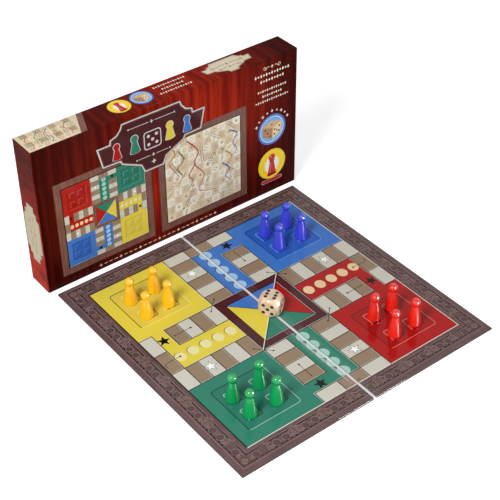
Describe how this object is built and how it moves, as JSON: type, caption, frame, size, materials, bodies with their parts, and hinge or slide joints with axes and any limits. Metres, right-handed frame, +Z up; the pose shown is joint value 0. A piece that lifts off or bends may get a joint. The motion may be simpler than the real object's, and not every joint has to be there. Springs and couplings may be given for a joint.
{
  "type": "folding ludo board set with carton",
  "caption": "Folding two-leaf ludo board lying open with moulded pawns and a rounded wooden die on it, and the tuck-end paperboard carton the set packs into.",
  "frame": {"origin": "middle of the row's footprint, on the table under the open board and the standing carton", "axes": "+X along the carton's length and across the board's fold, +Y from the near edge of the board to the carton, +Z up"},
  "size_m": [0.426, 0.4596, 0.225],
  "materials": {
    "core_board": "matte grey board",
    "ludo_print": "printed, gloss laminate",
    "snakes_print": "printed, gloss laminate",
    "clear_tape": "clear gloss film",
    "pawn_yellow": "moulded gloss",
    "pawn_blue": "moulded gloss",
    "pawn_red": "moulded gloss",
    "pawn_green": "moulded gloss",
    "die_wood": "sanded, waxed",
    "pip_paint": "dark paint",
    "carton_print": "printed, gloss laminate",
    "carton_bare": "bare uncoated"
  },
  "bodies": {
    "board_left": {"board_core_left": "core_board", "ludo_sheet_left": "ludo_print", "snakes_sheet_left": "snakes_print", "hinge_tape_left": "clear_tape"},
    "board_right": {"board_core_right": "core_board", "ludo_sheet_right": "ludo_print", "snakes_sheet_right": "snakes_print", "hinge_tape_right": "clear_tape"},
    "pawn_yellow_1": {"pawn_yellow_1": "pawn_yellow"},
    "pawn_yellow_2": {"pawn_yellow_2": "pawn_yellow"},
    "pawn_yellow_3": {"pawn_yellow_3": "pawn_yellow"},
    "pawn_yellow_4": {"pawn_yellow_4": "pawn_yellow"},
    "pawn_blue_1": {"pawn_blue_1": "pawn_blue"},
    "pawn_blue_2": {"pawn_blue_2": "pawn_blue"},
    "pawn_blue_3": {"pawn_blue_3": "pawn_blue"},
    "pawn_blue_4": {"pawn_blue_4": "pawn_blue"},
    "pawn_red_1": {"pawn_red_1": "pawn_red"},
    "pawn_red_2": {"pawn_red_2": "pawn_red"},
    "pawn_red_3": {"pawn_red_3": "pawn_red"},
    "pawn_red_4": {"pawn_red_4": "pawn_red"},
    "pawn_green_1": {"pawn_green_1": "pawn_green"},
    "pawn_green_2": {"pawn_green_2": "pawn_green"},
    "pawn_green_3": {"pawn_green_3": "pawn_green"},
    "pawn_green_4": {"pawn_green_4": "pawn_green"},
    "die": {"die_body": "die_wood", "die_pips": "pip_paint"},
    "carton": {"carton_front_panel": "carton_print", "carton_back_panel": "carton_print", "carton_top_panel": "carton_print", "carton_bottom_panel": "carton_print", "carton_glue_flap": "carton_bare"},
    "closure_left": {"closure_left": "carton_print"},
    "tuck_tongue_left": {"tuck_tongue_left": "carton_bare"},
    "dust_flap_left_top": {"dust_flap_left_top": "carton_bare"},
    "dust_flap_left_bottom": {"dust_flap_left_bottom": "carton_bare"},
    "closure_right": {"closure_right": "carton_print"},
    "tuck_tongue_right": {"tuck_tongue_right": "carton_bare"},
    "dust_flap_right_top": {"dust_flap_right_top": "carton_bare"},
    "dust_flap_right_bottom": {"dust_flap_right_bottom": "carton_bare"}
  },
  "joints": [
    {"name": "board_fold", "type": "hinge", "parent": "board_left", "child": "board_right", "pos_m": [-0.003, -0.02725, -0.00015], "axis": [0, 1, 0], "range_deg": [0, 180]},
    {"name": "pawn_yellow_1_lift", "type": "slide", "parent": "board_left", "child": "pawn_yellow_1", "axis": [0, 0, 1], "range_m": [0, 0.06]},
    {"name": "pawn_yellow_2_lift", "type": "slide", "parent": "board_left", "child": "pawn_yellow_2", "axis": [0, 0, 1], "range_m": [0, 0.06]},
    {"name": "pawn_yellow_3_lift", "type": "slide", "parent": "board_left", "child": "pawn_yellow_3", "axis": [0, 0, 1], "range_m": [0, 0.06]},
    {"name": "pawn_yellow_4_lift", "type": "slide", "parent": "board_left", "child": "pawn_yellow_4", "axis": [0, 0, 1], "range_m": [0, 0.06]},
    {"name": "pawn_blue_1_lift", "type": "slide", "parent": "board_right", "child": "pawn_blue_1", "axis": [0, 0, 1], "range_m": [0, 0.06]},
    {"name": "pawn_blue_2_lift", "type": "slide", "parent": "board_right", "child": "pawn_blue_2", "axis": [0, 0, 1], "range_m": [0, 0.06]},
    {"name": "pawn_blue_3_lift", "type": "slide", "parent": "board_right", "child": "pawn_blue_3", "axis": [0, 0, 1], "range_m": [0, 0.06]},
    {"name": "pawn_blue_4_lift", "type": "slide", "parent": "board_right", "child": "pawn_blue_4", "axis": [0, 0, 1], "range_m": [0, 0.06]},
    {"name": "pawn_red_1_lift", "type": "slide", "parent": "board_right", "child": "pawn_red_1", "axis": [0, 0, 1], "range_m": [0, 0.06]},
    {"name": "pawn_red_2_lift", "type": "slide", "parent": "board_right", "child": "pawn_red_2", "axis": [0, 0, 1], "range_m": [0, 0.06]},
    {"name": "pawn_red_3_lift", "type": "slide", "parent": "board_right", "child": "pawn_red_3", "axis": [0, 0, 1], "range_m": [0, 0.06]},
    {"name": "pawn_red_4_lift", "type": "slide", "parent": "board_right", "child": "pawn_red_4", "axis": [0, 0, 1], "range_m": [0, 0.06]},
    {"name": "pawn_green_1_lift", "type": "slide", "parent": "board_left", "child": "pawn_green_1", "axis": [0, 0, 1], "range_m": [0, 0.06]},
    {"name": "pawn_green_2_lift", "type": "slide", "parent": "board_left", "child": "pawn_green_2", "axis": [0, 0, 1], "range_m": [0, 0.06]},
    {"name": "pawn_green_3_lift", "type": "slide", "parent": "board_left", "child": "pawn_green_3", "axis": [0, 0, 1], "range_m": [0, 0.06]},
    {"name": "pawn_green_4_lift", "type": "slide", "parent": "board_left", "child": "pawn_green_4", "axis": [0, 0, 1], "range_m": [0, 0.06]},
    {"name": "die_lift", "type": "slide", "parent": "board_left", "child": "die", "axis": [0, 0, 1], "range_m": [0, 0.06]},
    {"name": "carton_lift", "type": "slide", "parent": "board_left", "child": "carton", "axis": [0, 0, 1], "range_m": [0, 0.25]},
    {"name": "closure_left_crease", "type": "hinge", "parent": "carton", "child": "closure_left", "pos_m": [-0.21185, 0.22975, 0.1125], "axis": [0, 0, -1], "range_deg": [0, 170]},
    {"name": "tuck_tongue_left_crease", "type": "hinge", "parent": "closure_left", "child": "tuck_tongue_left", "pos_m": [-0.21135, 0.18755, 0.1125], "axis": [0, 0, 1], "range_deg": [-8, 30]},
    {"name": "dust_flap_left_top_crease", "type": "hinge", "parent": "carton", "child": "dust_flap_left_top", "pos_m": [-0.2112, 0.20775, 0.2232], "axis": [0, -1, 0], "range_deg": [0, 88]},
    {"name": "dust_flap_left_bottom_crease", "type": "hinge", "parent": "carton", "child": "dust_flap_left_bottom", "pos_m": [-0.2112, 0.20775, 0.0018], "axis": [0, 1, 0], "range_deg": [0, 88]},
    {"name": "closure_right_crease", "type": "hinge", "parent": "carton", "child": "closure_right", "pos_m": [0.21185, 0.22975, 0.1125], "axis": [0, 0, 1], "range_deg": [0, 170]},
    {"name": "tuck_tongue_right_crease", "type": "hinge", "parent": "closure_right", "child": "tuck_tongue_right", "pos_m": [0.21135, 0.18755, 0.1125], "axis": [0, 0, -1], "range_deg": [-8, 30]},
    {"name": "dust_flap_right_top_crease", "type": "hinge", "parent": "carton", "child": "dust_flap_right_top", "pos_m": [0.2112, 0.20775, 0.2232], "axis": [0, 1, 0], "range_deg": [0, 88]},
    {"name": "dust_flap_right_bottom_crease", "type": "hinge", "parent": "carton", "child": "dust_flap_right_bottom", "pos_m": [0.2112, 0.20775, 0.0018], "axis": [0, -1, 0], "range_deg": [0, 88]}
  ]
}
